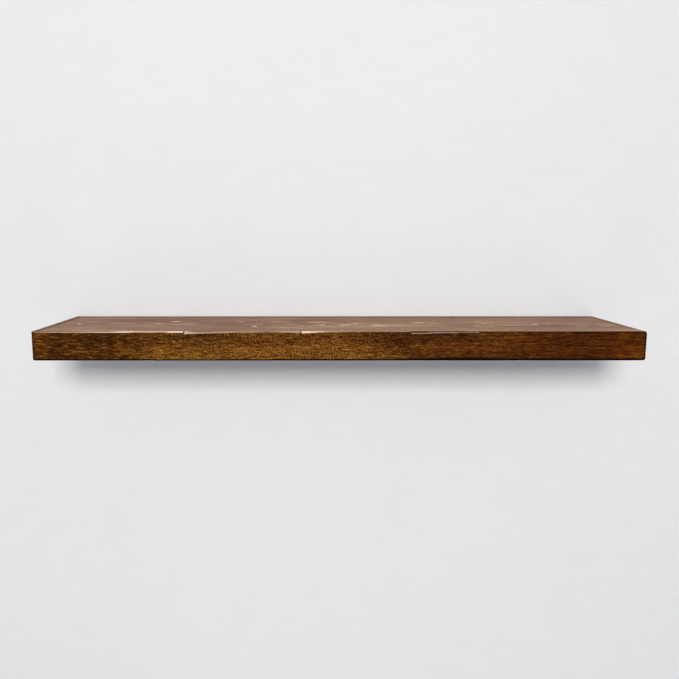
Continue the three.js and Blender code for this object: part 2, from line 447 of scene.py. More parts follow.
def wall_material():
    wall = Recipe("pale wall", Roughness=0.95, Specular_IOR_Level=0.0)
    material = wall.finish(Base_Color=wall_paint(wall))
    ray = wall.node("ShaderNodeLightPath").outputs
    behind = wall.node("ShaderNodeNewGeometry").outputs["Backfacing"]
    seen = Signal(wall, ray["Is Camera Ray"])
    near = wall.calc("LESS_THAN", ray["Ray Length"], WALL_PASS)
    clear = wall.calc("MAXIMUM", behind, near * (1 - seen))
    height = wall.parts(wall.point)[2]
    low = wall.step(height, FLOOR_LEVEL + COVE_RADIUS, FLOOR_LEVEL + FLOOR_FADE)
    pale = low * seen * FLOOR_PALE
    haze = wall.signal("ShaderNodeEmission", {"Color": (*ROOM_SEEN, 1)})
    shaded = wall.signal("ShaderNodeMixShader", {0: pale, 1: wall.surface.outputs[0], 2: haze})
    glass = wall.signal("ShaderNodeBsdfTransparent")
    mixed = wall.signal("ShaderNodeMixShader", {0: clear, 1: shaded, 2: glass})
    wall.feed(wall.tree.nodes["Material Output"].inputs["Surface"], mixed)
    return material


def make_wall():
    """The wall with a cove at its foot, over a floor that also runs on behind it."""
    cove = [(FLOOR_FRONT, FLOOR_LEVEL)]
    for i in range(COVE_STEPS + 1):
        angle = math.pi / 2 * i / COVE_STEPS
        cove.append((WALL_GAP - COVE_RADIUS * (1 - math.sin(angle)),
                     FLOOR_LEVEL + COVE_RADIUS * (1 - math.cos(angle))))
    cove.append((WALL_GAP, WALL_TOP))
    form = bmesh.new()
    for profile in (cove, [(WALL_GAP - COVE_RADIUS, FLOOR_LEVEL), (FLOOR_BACK, FLOOR_LEVEL)]):
        left = [form.verts.new((-HALF_WIDTH, y, z)) for y, z in profile]
        right = [form.verts.new((HALF_WIDTH, y, z)) for y, z in profile]
        for i in range(len(profile) - 1):
            form.faces.new((left[i], right[i], right[i + 1], left[i + 1]))
    mesh = bpy.data.meshes.new("wall")
    form.to_mesh(mesh)
    form.free()
    mesh.materials.append(wall_material())
    mesh.shade_smooth()
    wall = add("wall", mesh)
    wall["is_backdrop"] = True
    print("wall", len(mesh.polygons), "faces")


make_wall()

# %% [markdown]
# The light is plain. A large soft lamp stands well out in the room, about eighteen degrees above the
# shelf: its height sets where the shadow on the wall ends, and its size how softly. The open room is
# the pale world, a little cooler than the lamp, so the shadow is faintly blue. A second lamp above
# lights only the shelf, as a skylight would without washing its shadow down the wall, and a third
# stands behind the wall for the views of the bracket. Each lamp is given by the level it lends: at 1,
# a surface facing it shows its own colour. The camera sees the room a little paler than it lights.

# %% Lamps and room
ROOM_LEVEL = 0.325
ROOM_TINT = (0.925, 1.015, 1.20)
KEY_TINT = (1.02, 0.975, 0.91)
AIM = Vector((0, -0.1, 0))


def lamp(name, azimuth, elevation, distance, size, level, tint=(1, 1, 1)):
    """A soft rectangular lamp; azimuth 0 is in front of the shelf, and 90 to its right."""
    turn, rise = math.radians(azimuth), math.radians(elevation)
    away = Vector((math.sin(turn) * math.cos(rise), -math.cos(turn) * math.cos(rise), math.sin(rise)))
    data = bpy.data.lights.new(name, "AREA")
    data.shape = "RECTANGLE"
    data.size, data.size_y = size
    data.energy = level * math.pi ** 2 * distance ** 2
    data.color = tint
    made = add(name, data)
    made.location = AIM + away * distance
    made.rotation_euler = away.to_track_quat("Z", "Y").to_euler()
    return made


lamp("key", -2, 18.0, 3.2, (0.85, 0.66), 0.68, KEY_TINT)
overhead = lamp("overhead", -10, 70, 2.0, (2.4, 1.6), 0.65)
behind = lamp("behind", 205, 30, 2.2, (1.8, 1.4), 0.75)
shelf_only = bpy.data.collections.new("shelf only")
overhead.light_linking.receiver_collection = shelf_only
behind.light_linking.receiver_collection = shelf_only

world = bpy.data.worlds.new("room")
bpy.context.scene.world = world
world.use_nodes = True
room = Tree(world.node_tree)
ray = room.node("ShaderNodeLightPath").outputs
seen = room.calc("MAXIMUM", ray["Is Camera Ray"], ray["Is Transmission Ray"])
lit = (*[ROOM_LEVEL * share for share in ROOM_TINT], 1)
shown = room.signal("ShaderNodeMix", {0: seen, 6: lit, 7: (*ROOM_SEEN, 1)}, output=2, data_type="RGBA")
room.feed(room.tree.nodes["Background"].inputs["Color"], shown)

# %% [markdown]
# The wood. The plank is sawn from a softwood log, so its grain is one solid pattern: rings round a
# pith that runs almost along the plank, below its underside. On the front they show as close lines,
# on the top as long arches, and on the ends as arcs. Making the rings in space, and not on each
# face, gives all of that from one formula, and it meets at every edge. In each ring, late is 1 on
# the hard late wood and 0 on the soft early wood.

# %% Wood: the tree's own grain
PITH_Y, PITH_Z = -118, -64
PITH_LEAN, PITH_CLIMB = 0.030, 0.034
RING_PITCH = 3.6

board_low, board_high = box("shelf_board")
wood = Recipe("stained wood", Specular_IOR_Level=0.025)
x, y, z = wood.places()

from_pith_y = y - PITH_Y + x * PITH_LEAN
from_pith_z = z - PITH_Z + x * PITH_CLIMB
radius = wood.calc("SQRT", from_pith_y * from_pith_y + from_pith_z * from_pith_z)
radius += wood.noise((2.6, 7.0, 7.0)) * 26 + wood.noise((16.0, 60.0, 60.0)) * 2.6
from_pith = wood.signal("ShaderNodeCombineXYZ", {0: radius})
radius += wood.noise((0.09, 1.0, 1.0), detail=1.0, vector=from_pith) * 6
phase = wood.calc("FRACT", radius / RING_PITCH)
late = wood.step(phase, 0.45, 0.86) * wood.step(phase, 1.0, 0.93)

fibre = wood.noise((13.0, 420.0, 420.0), detail=4.0, rough=0.6)
hair = wood.noise((42.0, 1500.0, 1500.0), detail=3.0, rough=0.65)
speck = wood.noise((620.0, 700.0, 700.0), detail=2.0, rough=0.6)
dash = wood.noise((90.0, 430.0, 430.0), detail=3.0, rough=0.65, moved=(2, 6, 4))
cloud = wood.noise((9.0, 26.0, 26.0), detail=3.0, rough=0.55)
drift = wood.noise((3.5, 16.0, 16.0), moved=(5, 1, 3))
print("grain", len(wood.tree.nodes), "nodes")

# %% [markdown]
# Dark stain then goes over it. Soft early wood drinks more of it than the hard late wood, so the thin
# ring lines end up lighter than the rest. The stain is also blotchy, and the top has pale flecks: paler
# wood round small knots, with painted glints where the grain round them catches the light. The places
# of the larger patches are listed and written as ellipsoids. A little wandering of their outlines keeps
# them from looking like ellipsoids.

# %% Wood: patches of the top
# Centre x and y, reach along and across (all mm), turn in the face (degrees), strength.
# Pale flecks: paler wood round small knots, with painted glints of the grain round them.
TOP_FLECKS_AND_GLINTS = (
    (-414, -113, 24, 7, -57, 0.30), (-402, -86, 16, 6, -25, 0.40), (-337, -145, 12, 6, 0, 0.25),
    (-291, -145, 24, 5, 0, 0.40), (-268, -80, 12, 7, 0, 1.55), (-157, -80, 7, 6, 0, 0.80),
    (-129, -145, 7, 7, 0, 2.30), (-98, -134, 9, 5, 0, 0.40), (-90, -82, 34, 5, -4, 0.95),
    (-62, -134, 10, 5, 0, 0.45), (-30, -88, 34, 6, -6, 1.20), (28, -107, 9, 5, 0, 0.50),
    (64, -125, 19, 5, -18, 1.00), (98, -139, 25, 5, -18, 0.75), (132, -96, 13, 6, -14, 1.45),
    (155, -104, 17, 5, -20, 0.60), (187, -120, 16, 5, 0, 0.35), (220, -135, 10, 6, -20, 0.85),
    (236, -142, 13, 5, -24, 0.50), (237, -107, 6, 6, 0, 0.45), (318, -114, 11, 7, 40, 0.95),
)
TOP_SHADES = (
    (-60, -109, 78, 4, -2, 0.55), (-345, -70, 60, 16, 8, 0.30), (150, -122, 70, 6, -18, 0.35),
    (175, -76, 50, 7, 0, 0.45), (330, -60, 90, 18, -6, 0.30),
)

# %% Wood: patches of the front
# Centre x and height from the middle, reach along and up (all mm), strength.
FRONT_SHADES = (
    (-414, 3, 22, 10, 0.60), (-371, -1, 20, 14, 0.50), (-340, 9, 34, 9, 0.45), (-250, 14, 60, 6, 0.25),
    (-135, 8, 85, 8, 0.30), (84, 7, 34, 13, 0.60), (128, 16, 60, 5, 0.50), (180, 12, 28, 8, 0.50),
    (345, 5, 60, 13, 0.25),
)
FRONT_LIGHTS = (
    (-400, 12, 15, 8, 0.50), (-252, 9, 16, 11, 0.10), (-20, 2, 60, 12, 0.40), (128, 0, 44, 9, 0.60),
    (200, -3, 60, 11, 0.45), (262, 2, 60, 20, 0.45),
)
PATCH_DEPTH = 9
TOP_CORE = 0.1

# %% Wood: from patches to a pattern
wander_along = wood.noise((30.0, 120.0, 120.0), detail=3.0, rough=0.6) * 16 * MM
wander_across = wood.noise((26.0, 60.0, 60.0), moved=(4, 2, 7)) * 7 * MM
wander = wood.signal("ShaderNodeCombineXYZ", {0: wander_along, 1: wander_across, 2: wander_across})
wandering = wood.signal("ShaderNodeVectorMath", {0: wood.point, 1: wander}, operation="ADD")


def patch(centre, reach, turn=0, core=0.0):
    """1 inside an ellipsoid's core, falling softly to 0 at its skin."""
    inputs = {"Vector": wandering, "Location": Vector(centre) * MM,
              "Rotation": (0, 0, math.radians(turn)), "Scale": Vector(reach) * MM}
    local = wood.signal("ShaderNodeMapping", inputs, vector_type="TEXTURE")
    distance = wood.signal("ShaderNodeVectorMath", {0: local}, output="Value", operation="LENGTH")
    return wood.step(distance, 1.0, core)


def top_patches(rows):
    return sum(patch((at_x, at_y, board_high.z), (long, wide, PATCH_DEPTH), turn, TOP_CORE) * strength
               for at_x, at_y, long, wide, turn, strength in rows)


def front_patches(rows):
    return sum(patch((at_x, board_low.y, at_z), (long, PATCH_DEPTH, tall)) * strength
               for at_x, at_z, long, tall, strength in rows)


# %% [markdown]
# Each face has its own look, so the recipe first asks which way the surface faces. Two attributes of
# the mesh, which are written further down, say where the edge is bare with a painted highlight, and
# where painted shade darkens a notch, the slit or an edge. The front is darker along its top, and
# lighter in a band left of its middle: a painted pool of light, in which the specks show stronger.
# A thin painted highlight runs along its lower edge, and near its two ends the front is lighter.

# %% Wood: the tone of the front
across, outward, upward = wood.parts(wood.facing)
# The first attribute is bare wood, with a painted highlight along the torn edges.
bare_and_highlight = wood.signal("ShaderNodeAttribute", output="Fac", attribute_name="bare_and_highlight")
# The second attribute is painted shade, in notches, the slit and along the plank's edges.
painted_shade = wood.signal("ShaderNodeAttribute", output="Fac", attribute_name="painted_shade")
# Upward faces take the top's ramp, which is painted light and sheen; it stays off in painted shade.
top_painted_light = wood.step(upward, 0.45, 0.8) * (1 - painted_shade)
on_end = wood.step(abs(across), 0.6, 0.85)
on_front = wood.step(outward, -0.5, -0.8)

lower = wood.step(z + cloud * 14, 5, -3)
rightward = wood.step(x, 20, 160)
# A lighter band left of the middle is a painted pool of light; the specks show stronger in it.
painted_light_above = wood.window(x, -320, -190, -20, 110) * (1 - lower)
painted_light_low = wood.window(x, -340, -250, -20, 200)
corners = wood.window(x, -455, -450, -438, -428) + wood.window(x, 402, 418, 448, 456)
# A lighter strip just above the lower edge: a painted highlight on the rounded edge.
lower_edge_painted_highlight = wood.window(z, -21, -20.2, -19.2, -18.4)
upper_rim = wood.step(z, 18.5, 20.5) * rightward
front_tone = (
    painted_light_above * 0.09 + painted_light_low * lower * 0.175 + lower * 0.035 + corners * 0.10
    + lower_edge_painted_highlight * 0.07 - upper_rim * 0.04
    - front_patches(FRONT_SHADES) * 0.15 + front_patches(FRONT_LIGHTS) * 0.13
)
dashes = wood.step(x, 200, 330, 1.25, 0.80) + wood.step(x, -290, -330, 0.0, 0.45)
specks = 0.45 + on_front * (0.95 + painted_light_low * 1.60)
coarser = wood.step(x, 200, 330, 0.0, 0.25)
tone = (
    0.314 + late * 0.050 + fibre * 0.40 + hair * 0.40 + speck * specks + cloud * 0.30
    + on_front * (front_tone + dash * dashes + fibre * coarser)
    + on_end * (late * 0.14 - 0.02)
)

# %% [markdown]
# The top is paler and greyer than the front: its own ramp is painted light and sheen, for the light
# and the grazing shine that a top catches. It is also paler towards the room, darker at both ends, and
# darker by the wall with painted shade where it meets the wall. Its flecks are not smooth: they only
# show where a streak of the grain passes through them.

# %% Wood: the tone of the top
to_room = wood.step(y, -30, -200) * 0.085
front_rim = wood.step(y, -192, -200) * (0.05 + rightward * 0.08)
# Darker by the wall: painted shade where the top meets the wall.
wall_painted_shade = wood.step(y, -27, -10) * 0.34
over_splinter = wood.step(x, 95, 110) * wood.step(y, -198.6, -200.4) * 0.55
left_end = wood.step(x, -440, -450) * 0.42
right_end = wood.step(x, 441, 451) * wood.step(y, -200, -60) * 0.40
streaks = wood.calc("MAXIMUM", 0.0, 0.70 + fibre * 2.6 + hair * 1.5)
top_tone = (
    0.41 + to_room + front_rim - wall_painted_shade - over_splinter - left_end - right_end
    + late * 0.24 + fibre * 0.65 + speck * 1.20 + cloud * 0.60 + drift * 0.45
    + top_patches(TOP_FLECKS_AND_GLINTS) * streaks - top_patches(TOP_SHADES) * 0.28
)
print("tones", len(wood.tree.nodes), "nodes")

# %% [markdown]
# Two colour ramps turn the tones into stain; the top's ramp also paints the light and sheen of the top.
# Where the arris is torn the wood is bare, and its colour goes from a fresh pale break to one that has
# drunk some stain; its pale colour also paints the highlight that the torn edge catches. Below the
# stain's thin skin the wood is also bare, so the pocket and the bores that are cut into the plank show
# it without being told.

# %% Wood: colours
# Linear colours, from the darkest stain to wood that the stain hardly touched.
STAIN = (
    (0.00, (0.0080, 0.0020, 0.0003)),
    (0.28, (0.0360, 0.0106, 0.0012)),
    (0.50, (0.0920, 0.0310, 0.0036)),
    (0.72, (0.1850, 0.0690, 0.0080)),
    (1.00, (0.4000, 0.1850, 0.0330)),
)
# The top's ramp is paler and greyer: the stain with painted light and sheen on it.
TOP_STAIN_AND_PAINTED_LIGHT = (
    (0.00, (0.0700, 0.0330, 0.0150)),
    (0.30, (0.1385, 0.0675, 0.0330)),
    (0.50, (0.1910, 0.0980, 0.0508)),
    (0.75, (0.2850, 0.1680, 0.1000)),
    (1.00, (0.6000, 0.4300, 0.3100)),
)
REDDER = (0.95, 0.74, 0.66)
BARE_WOOD, TORN_WOOD = (0.48, 0.325, 0.21), (0.90, 0.75, 0.57)
CUT_PALE, CUT_DEEP = (0.56, 0.36, 0.18), (0.36, 0.20, 0.085)
# SHADOWED is the near black of the painted shade.
SHADOWED = (0.003, 0.0014, 0.0008)
SPLINTER_START, SPLINTER_END = 106.3, 207.0

redness = wood.step(x, 40, 110) * 0.3 + wood.step(x, 230, 320) * 0.7
colour = wood.mix(redness, wood.ramp(tone, STAIN), REDDER, blend="MULTIPLY")
# The top takes its paler ramp: painted light and sheen on every upward face.
colour = wood.mix(top_painted_light, colour, wood.ramp(top_tone, TOP_STAIN_AND_PAINTED_LIGHT))

# Bare torn wood on the arris; its pale colour also paints the edge's highlight.
left_of_splinter = wood.step(x, SPLINTER_START, SPLINTER_START - 3, -0.1, 0.5)
torn = wood.mix(left_of_splinter + fibre * 1.6, BARE_WOOD, TORN_WOOD)
ragged = wood.noise((70.0, 300.0, 300.0), detail=3.0)
patchy = wood.calc("MULTIPLY_ADD", ragged, 0.7, bare_and_highlight, clamp=True) * wood.step(bare_and_highlight, 0.0, 0.12)
# Painted shade goes over the colour last.
colour = wood.mix(painted_shade, wood.mix(patchy, colour, torn), SHADOWED)

# %% Wood: below the stain, and the surface
SKIN, FRONT_SKIN, END_SKIN = 0.7, 2.1, 5

depths = (
    board_high.x - END_SKIN - abs(x), board_high.z - SKIN - abs(z),
    y - (board_low.y + FRONT_SKIN), board_high.y - SKIN - y,
)
inside = depths[0]
for depth in depths[1:]:
    inside = wood.calc("MINIMUM", inside, depth)
unstained = wood.step(inside, 0.0, 0.4)
cut_wood = wood.mix(0.45 + fibre * 1.4 + late * 0.25, CUT_PALE, CUT_DEEP)
relief = late * 0.25 + fibre + hair * 0.9 + speck * 0.5
stained = wood.finish(
    Base_Color=wood.mix(unstained, colour, cut_wood),
    Roughness=0.50 + fibre * 0.25 + speck * 0.2 + unstained * 0.35 + bare_and_highlight * 0.25 + painted_shade * 0.45,
    Normal=wood.bump(relief, 0.18),
)

# %% [markdown]
# The plank's shape. It looks like a plain block, but what makes it a real plank is at its edges: the
# long arris above the front was torn in two places, a splinter has lifted further right, the lower
# edge is rounded over, and the right end's corners are softer than the left's. So the block is a
# lattice whose lines crowd where something happens, and each step below moves its points: first a
# rounding of every edge, then the planing waves, the worn arris, the lifted splinter and a chip.
# A subdivided cube could not hold a 0.3 mm nick in a 914 mm plank; crowded lines can.

# %% Plank: places and sizes of the wear, the painted highlight and the painted shade
CRISP_EASE, BACK_EASE = 0.5, 1.2
LEFT_CORNER, RIGHT_CORNER = 1.6, 3.6
NICKS = (-231, -57.2)
CHIP_START, CHIP_END = -291.7, -274.7

# Along the front's upper edge: place and height of the worn bevel.
ARRIS_BEVEL = (
    (-457, 0.9), (-440, 1.5), (-414, 1.5), (-380, 1.6), (-355, 1.8), (-320, 1.5), (-295, 1.2),
    (-262, 1.1), (-250, 1.6), (-232.2, 1.8), (-231.6, 4.0), (-230.6, 4.0), (-229.8, 3.2), (-205, 2.6),
    (-176, 2.0), (-132, 1.5), (-110, 1.2), (-70, 1.4), (-58.2, 1.8), (-57.8, 2.4), (-50, 2.1),
    (-42, 1.8), (-28, 1.1), (-12, 0.7), (9, 0.6), (60, 0.6), (105.6, 0.9), (106.6, 0.5), (457, 0.45),
)
# Along the same edge: how bare the bevel's wood is, whose pale colour also paints its highlight.
ARRIS_BARE_AND_HIGHLIGHT = (
    (-457, 0.15), (-440, 0.36), (-380, 0.42), (-340, 0.80), (-320, 0.85), (-256, 0.60), (-250, 1.0),
    (-232, 1.0), (-231.4, 0.1), (-229.5, 0.65), (-220, 0.45), (-205, 0.40), (-150, 0.22),
    (-110, 0.26), (-70, 0.36), (-58.4, 0.50), (-57.4, 0.3), (-56.6, 1.0), (-36, 1.0), (-25, 0.85),
    (-12, 0.55), (9, 0.40), (40, 0.12), (105, 0.10), (107, 0.0), (457, 0.0),
)
# Along the same edge: how far the bare colour and its painted highlight keep to the bevel's lower rim.
ARRIS_RIM = ((-457, 1), (-345, 1), (-325, 0), (-228, 0), (-215, 0.8), (-110, 0.8), (-90, 0), (457, 0))
# Along the same edge: place and height of the lifted splinter.
SPLINTER_HEIGHT = ((106, 2.7), (128, 2.6), (140, 1.9), (190, 1.5), (207, 1.1))
# Along the front's lower edge: place and radius.
LOWER_EASE = ((-457, 0.9), (-300, 0.8), (-100, 1.1), (40, 1.2), (75, 2.0), (430, 2.2), (457, 2.2))
# Along the same lower edge: how high the painted shade reaches, where the rounded edge faces down.
LOWER_EDGE_PAINTED_SHADE = (
    (-457, 2.6), (-355, 2.6), (-325, 2.2), (-130, 2.2), (-65, 2.7), (60, 2.8), (108, 3.4),
    (125, 4.0), (150, 4.5), (195, 4.5), (240, 3.8), (457, 3.9),
)


def along(rows, x):
    """A listed table, read at places along the plank."""
    return np.interp(x, *zip(*rows))


# %% Plank: the lattice
CROWDED = np.array((0, 0.25, 0.5, 0.8, 1.2, 1.7, 2.3, 3.1, 4.2, 5.6))
STEP_X, STEP_Y, STEP_Z = 3.0, 5.5, 2.2
LEAST_STEP = 0.16
SPLINTER_LINES = np.array((2.7, 3.5, 3.9, 4.5))


def ruled(low, high, step, extra=()):
    """Places from low to high: crowded at both ends, even between, with any extra ones."""
    inner = np.linspace(low + CROWDED[-1], high - CROWDED[-1], round((high - low) / step))
    places = np.sort(np.concatenate([low + CROWDED, inner, high - CROWDED, extra]))
    kept = [places[0]]
    for place in places[1:]:
        if place - kept[-1] > LEAST_STEP:
            kept.append(place)
    kept[-1] = high
    return np.array(kept)


def block_lattice(xs, ys, zs):
    """The surface of a block as points and four-cornered faces, one point for each lattice crossing."""
    ids = np.arange(len(xs) * len(ys) * len(zs)).reshape(len(xs), len(ys), len(zs))

    def quads(grid, outward):
        corners = [grid[:-1, :-1], grid[1:, :-1], grid[1:, 1:], grid[:-1, 1:]]
        return np.stack(corners if outward else corners[::-1], axis=-1).reshape(-1, 4)

    faces = np.concatenate([
        quads(ids[:, :, -1], True), quads(ids[:, :, 0], False),
        quads(ids[:, 0, :], True), quads(ids[:, -1, :], False),
        quads(ids[-1], True), quads(ids[0], False),
    ])
    used, faces = np.unique(faces, return_inverse=True)
    i, j, k = np.unravel_index(used, ids.shape)
    return np.column_stack([xs[i], ys[j], zs[k]]), faces.reshape(-1, 4)


events = [(nick_x - 3, nick_x + 3, 0.35) for nick_x in NICKS]
events += [(SPLINTER_START - 1.5, SPLINTER_START + 3, 0.4), (CHIP_START - 2, CHIP_END + 2, 0.8)]
event_lines = np.concatenate([np.arange(*event) for event in events])
points, faces = block_lattice(
    ruled(board_low.x, board_high.x, STEP_X, event_lines),
    ruled(board_low.y, board_high.y, STEP_Y),
    ruled(board_low.z, board_high.z, STEP_Z, board_high.z - SPLINTER_LINES),
)
print("lattice", len(points), "points", len(faces), "faces")


# %% Plank: rounding and planing waves
PLANING_WAVES = 0.14


def soft_step(values, start, end):
    share = np.clip((values - start) / (end - start), 0, 1)
    return share * share * (3 - 2 * share)


def ripple(points, per_metre, moved=0.0):
    """Smooth noise from -1 to 1 at each point, with its own fineness along each axis."""
    return np.array([noise.noise(Vector(place)) for place in points * MM * np.array(per_metre) + moved])


def edge_radius(points):
    """The rounding that each point's nearest edge has."""
    x, y, z = points.T
    in_front = np.where(z > 0, CRISP_EASE, along(LOWER_EASE, x))
    radius = np.where(y < (board_low.y + board_high.y) / 2, in_front, BACK_EASE)
    for end, corner in ((board_low.x, LEFT_CORNER), (board_high.x, RIGHT_CORNER)):
        nearness = 1 - soft_step(np.abs(x - end), 1.2 * corner, 4 * corner)
        radius = radius + (corner - radius) * nearness
    return radius


def rounded(points):
    """The block's points with its edges rounded, and the direction that each one faces."""
    radius = edge_radius(points)[:, None]
    core = np.clip(points, np.array(board_low) + radius, np.array(board_high) - radius)
    away = points - core
    facing = away / np.linalg.norm(away, axis=1, keepdims=True)
    return core + radius * facing, facing


points, facing = rounded(points)
planed = 0.5 + 0.5 * ripple(points, (7, 24, 24)) + 0.25 * ripple(points, (30, 70, 70), 9.1)
points = points - facing * (np.clip(planed, 0, 1) * PLANING_WAVES)[:, None]


# %% Plank: the worn arris, the splinter and the chip
BEVEL_LEAN = 0.72
LEAST_BEVEL, LEAST_CHIP = 0.3, 0.02
TORN_FIBRES = 0.10
SPLINTER_TOP, SPLINTER_LIP = 0.3, 0.7
SPLINTER_DEPTH, SPLINTER_REACH = 1.6, 2
CHIP_SIZE = 2.4


def bevel_cut(points, height, depth, edge_z, rises):
    """Moves what lies outside a sloping plane across an edge of the front back onto the plane."""
    inward = points[:, 1] - board_low.y
    down = (edge_z - points[:, 2]) * rises
    slope = np.hypot(1 / depth, 1 / height)
    outside = np.maximum(1 - inward / depth - down / height, 0) / slope
    points[:, 1] += outside / depth / slope
    points[:, 2] -= outside / height / slope * rises
    return outside


def wear_arris(points):
    """Cuts the uneven bevel along the front's upper edge, and roughens it with torn fibres."""
    uneven = 1 + 0.16 * ripple(points, (150, 0, 0)) + 0.10 * ripple(points, (420, 0, 0), 3.3)
    bevel = np.maximum(along(ARRIS_BEVEL, points[:, 0]) * uneven, LEAST_BEVEL)
    cut_away = bevel_cut(points, bevel, bevel * BEVEL_LEAN, board_high.z, 1)
    torn = np.where(cut_away > 0, TORN_FIBRES * (1 + ripple(points, (40, 1400, 1400))), 0)
    points[:, 1:] += torn[:, None] * np.array((BEVEL_LEAN, -BEVEL_LEAN))


def lift_splinter(points):
    """Opens a slit above the splinter, which is deepest just under the top and closes at its lip."""
    x, below = points[:, 0], board_high.z - points[:, 2]
    begins = soft_step(x, SPLINTER_START - 0.3, SPLINTER_START + 0.3)
    ends = soft_step(x, SPLINTER_END, SPLINTER_START)
    height = along(SPLINTER_HEIGHT, x)
    opened = np.clip((height - below) / (height - SPLINTER_TOP), 0, 1) * (below > SPLINTER_TOP + 0.1)
    at_front = points[:, 1] < board_low.y + SPLINTER_REACH
    points[:, 1] += np.where(at_front, SPLINTER_DEPTH * begins * ends * opened, 0)


def chip_edge(points):
    """Breaks a small chip out of the front's lower edge."""
    x = points[:, 0]
    in_chip = soft_step(x, CHIP_START, CHIP_START + 3) * soft_step(x, CHIP_END, CHIP_END - 4)
    chip = np.maximum(CHIP_SIZE * in_chip * (1 + 0.3 * ripple(points, (300, 0, 0), 5.7)), LEAST_CHIP)
    bevel_cut(points, chip, chip, board_low.z, -1)


wear_arris(points)
lift_splinter(points)
chip_edge(points)

# %% [markdown]
# From behind and below the plank gets what it hides: a pocket for the bracket's bar, a bore for each
# rod and a stepped hole for each locking insert. They are cut from the finished block, as a router and
# a drill cut them from the planed plank, so their edges are sharp and their walls unstained.

# %% Plank: what it hides
POCKET_PLAY, POCKET_FLOOR_GAP = 0.5, 0.6
BAR_CORNER = 6
PLAY = 0.3
BORE_END_GAP = 3
DRILL_POINT = 0.6
OVERRUN = 1
INSERT_BORE = 3.3
INSERT_FLANGE, INSERT_FLANGE_WIDTH = 1.2, 1.25

bar_low, bar_high = box("back_bar")
bar_length, bar_thickness, bar_height = bar_high - bar_low
rod_names = [f"support_rod_{i}" for i in range(1, 5)]
rod_radius, rod_length = turned_size(rod_names[0], INTO_ROOM)
rod_tip = box(rod_names[0])[0].y
insert_names = ["lock_insert_left", "lock_insert_right"]
insert_flange_radius, insert_length = turned_size(insert_names[0], UP)
insert_body_radius = insert_flange_radius - INSERT_FLANGE_WIDTH

# %% Plank: cut the hidden forms
pocket = (bar_length + 2 * POCKET_PLAY, bar_height + 2 * POCKET_PLAY, BAR_CORNER + POCKET_PLAY)
pocket_floor = bar_thickness + POCKET_FLOOR_GAP
bore, bore_end = rod_radius + PLAY, BORE_END_GAP - rod_tip
bore_profile = [
    (0, bar_thickness), (bore, bar_thickness), (bore, bore_end), (0, bore_end + bore * DRILL_POINT),
]
flange, ledge = insert_flange_radius + PLAY, INSERT_FLANGE + PLAY
body, body_end = insert_body_radius + PLAY, insert_length + PLAY
locking_profile = [
    (0, -OVERRUN), (flange, -OVERRUN), (flange, ledge), (body, ledge), (body, body_end),
    (INSERT_BORE, body_end), (INSERT_BORE, -board_low.z), (0, -board_low.z),
]

mesh = bpy.data.meshes.new("stained_plank")
mesh.from_pydata(points.tolist(), [], faces.tolist())
mesh.update()
plank = add("stained_plank", mesh)
for hidden_form in (
    prism(rounded_rectangle(*pocket), -OVERRUN, pocket_floor, matrix=placing(Vector(), INTO_ROOM)),
    holes(rod_names, bore_profile, INTO_ROOM, y=0),
    holes(insert_names, locking_profile, UP, z=board_low.z),
):
    cut(plank, hidden_form, solver="MANIFOLD")
print("plank", len(plank.data.polygons), "faces")

# %% [markdown]
# Now the two attributes that the wood recipe reads: the first is bare wood on the torn arris and the
# splinter's lip, with the painted highlight that these edges catch; the second is painted shade in the
# nicks, the slit, along the lower edge, at both end arrises and in the chip. They are worked out from
# each point's own place, after the cutting, because a Boolean may renumber the points.

# %% Plank: bare wood, painted highlight and painted shade
BEVEL_MARGIN = 1.25
NICK_DEPTH, NICK_HEIGHT = 3.2, 4.4
EDGE_DEPTH = 3
SHADE_BAND_EDGE = 0.5


def splinter_at(x):
    """Where the splinter is, how strong it still is there, and its height."""
    there = (x > SPLINTER_START) & (x < SPLINTER_END)
    return there, soft_step(x, SPLINTER_END, SPLINTER_START), along(SPLINTER_HEIGHT, x)


def bare_and_highlight_places(x, inward, below):
    """The torn bevel and the splinter's lip: bare wood, with a painted highlight where they catch the
    light.
    """
    bevel = along(ARRIS_BEVEL, x)
    on_bevel = (inward < bevel * BEVEL_LEAN * BEVEL_MARGIN) & (below < bevel * BEVEL_MARGIN)
    rim = 1 - along(ARRIS_RIM, x) * (1 - soft_step(below, 0.3 * bevel, 0.65 * bevel))
    there, fade, height = splinter_at(x)
    lip = there & (inward < SPLINTER_REACH) & (np.abs(below - height) < SPLINTER_LIP)
    return np.where(lip, 0.40 + 0.28 * fade, np.where(on_bevel, along(ARRIS_BARE_AND_HIGHLIGHT, x) * rim, 0))


def painted_shade_places(x, inward, below, above):
    """Painted shade: the slit over the splinter, the nicks, the lower edge, both end arrises and the chip.
    """
    there, fade, height = splinter_at(x)
    slit = there & (inward < EDGE_DEPTH) & (below < height - SPLINTER_LIP)
    layers = [np.where(slit, 0.50 + 0.35 * fade, 0)]
    for nick_x in NICKS:
        near = soft_step(np.abs(x - nick_x), 1.3, 0.5)
        layers.append(near * ((inward < NICK_DEPTH) & (below < NICK_HEIGHT)))
    shade_band = along(LOWER_EDGE_PAINTED_SHADE, x)
    layers.append(0.96 * soft_step(above, shade_band + SHADE_BAND_EDGE, shade_band - SHADE_BAND_EDGE) * (inward < EDGE_DEPTH))
    layers.append(0.88 * soft_step(board_high.x - x, 4.6, 1.6) * soft_step(inward, 5.0, 2.0))
    layers.append(0.75 * soft_step(x - board_low.x, 2.8, 0.8) * soft_step(inward, 3.0, 1.2))
    chip = (x > CHIP_START) & (x < CHIP_END) & (above < CHIP_SIZE) & (inward < CHIP_SIZE)
    return np.maximum.reduce(layers + [0.8 * chip])


